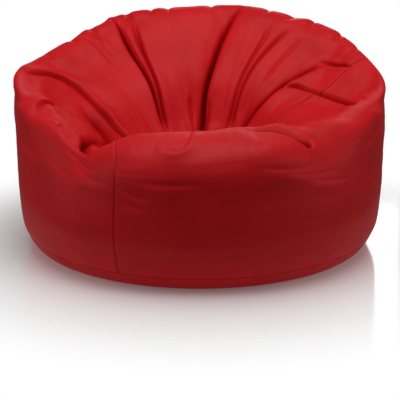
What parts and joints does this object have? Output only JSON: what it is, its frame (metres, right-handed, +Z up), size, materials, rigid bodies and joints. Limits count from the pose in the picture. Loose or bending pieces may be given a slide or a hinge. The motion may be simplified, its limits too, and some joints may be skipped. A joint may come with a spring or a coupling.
{
  "type": "bean bag chair",
  "caption": "Round bucket-shaped bean bag chair with a high back, sloping arms, a sunken seat and a soft leatherette cover over a zipped bead-filled liner.",
  "frame": {"origin": "on the floor under the middle of the chair's base", "axes": "+Z up, -Y towards the front of the seat, +X towards the right arm as a viewer in front sees it"},
  "size_m": [1.1094, 1.1104, 0.6674],
  "materials": {
    "leatherette": "soft satin",
    "lining": "woven",
    "beads": "expanded foam beads",
    "zip_tape": "woven tape",
    "zip_coil": "satin nylon",
    "liner_zip_tape": "woven tape",
    "liner_zip_coil": "satin nylon",
    "zip_metal": "satin"
  },
  "bodies": {
    "bag": {"front_right_panel": "leatherette", "back_panel": "leatherette", "left_panel": "leatherette", "seat_disc": "leatherette", "base_panel": "leatherette", "zip_tape_lower": "zip_tape", "zip_tape_upper": "zip_tape", "zip_coil_lower": "zip_coil", "zip_coil_upper": "zip_coil", "zip_bottom_stop": "zip_metal", "zip_top_stop_lower": "zip_metal", "zip_top_stop_upper": "zip_metal", "liner_sack": "lining", "liner_base": "lining", "liner_zip_tape_left": "liner_zip_tape", "liner_zip_tape_right": "liner_zip_tape", "liner_zip_coil_left": "liner_zip_coil", "liner_zip_coil_right": "liner_zip_coil", "liner_zip_bottom_stop": "zip_metal", "liner_zip_top_stop_left": "zip_metal", "liner_zip_top_stop_right": "zip_metal", "bead_fill": "beads"},
    "slider": {"zip_slider": "zip_metal"},
    "pull": {"zip_pull": "zip_metal"},
    "liner_slider": {"liner_zip_slider": "zip_metal"}
  },
  "joints": [
    {"name": "zip_travel", "type": "hinge", "parent": "bag", "child": "slider", "pos_m": [0, 0, 0], "axis": [0, 0, 1], "range_deg": [-67.9, 0]},
    {"name": "pull_swing", "type": "hinge", "parent": "slider", "child": "pull", "pos_m": [-0.14739, 0.51451, 0.054], "axis": [0, 0, 1], "range_deg": [0, 175]},
    {"name": "liner_zip_travel", "type": "slide", "parent": "bag", "child": "liner_slider", "axis": [0, 0, -1], "range_m": [0, 0.152]}
  ]
}
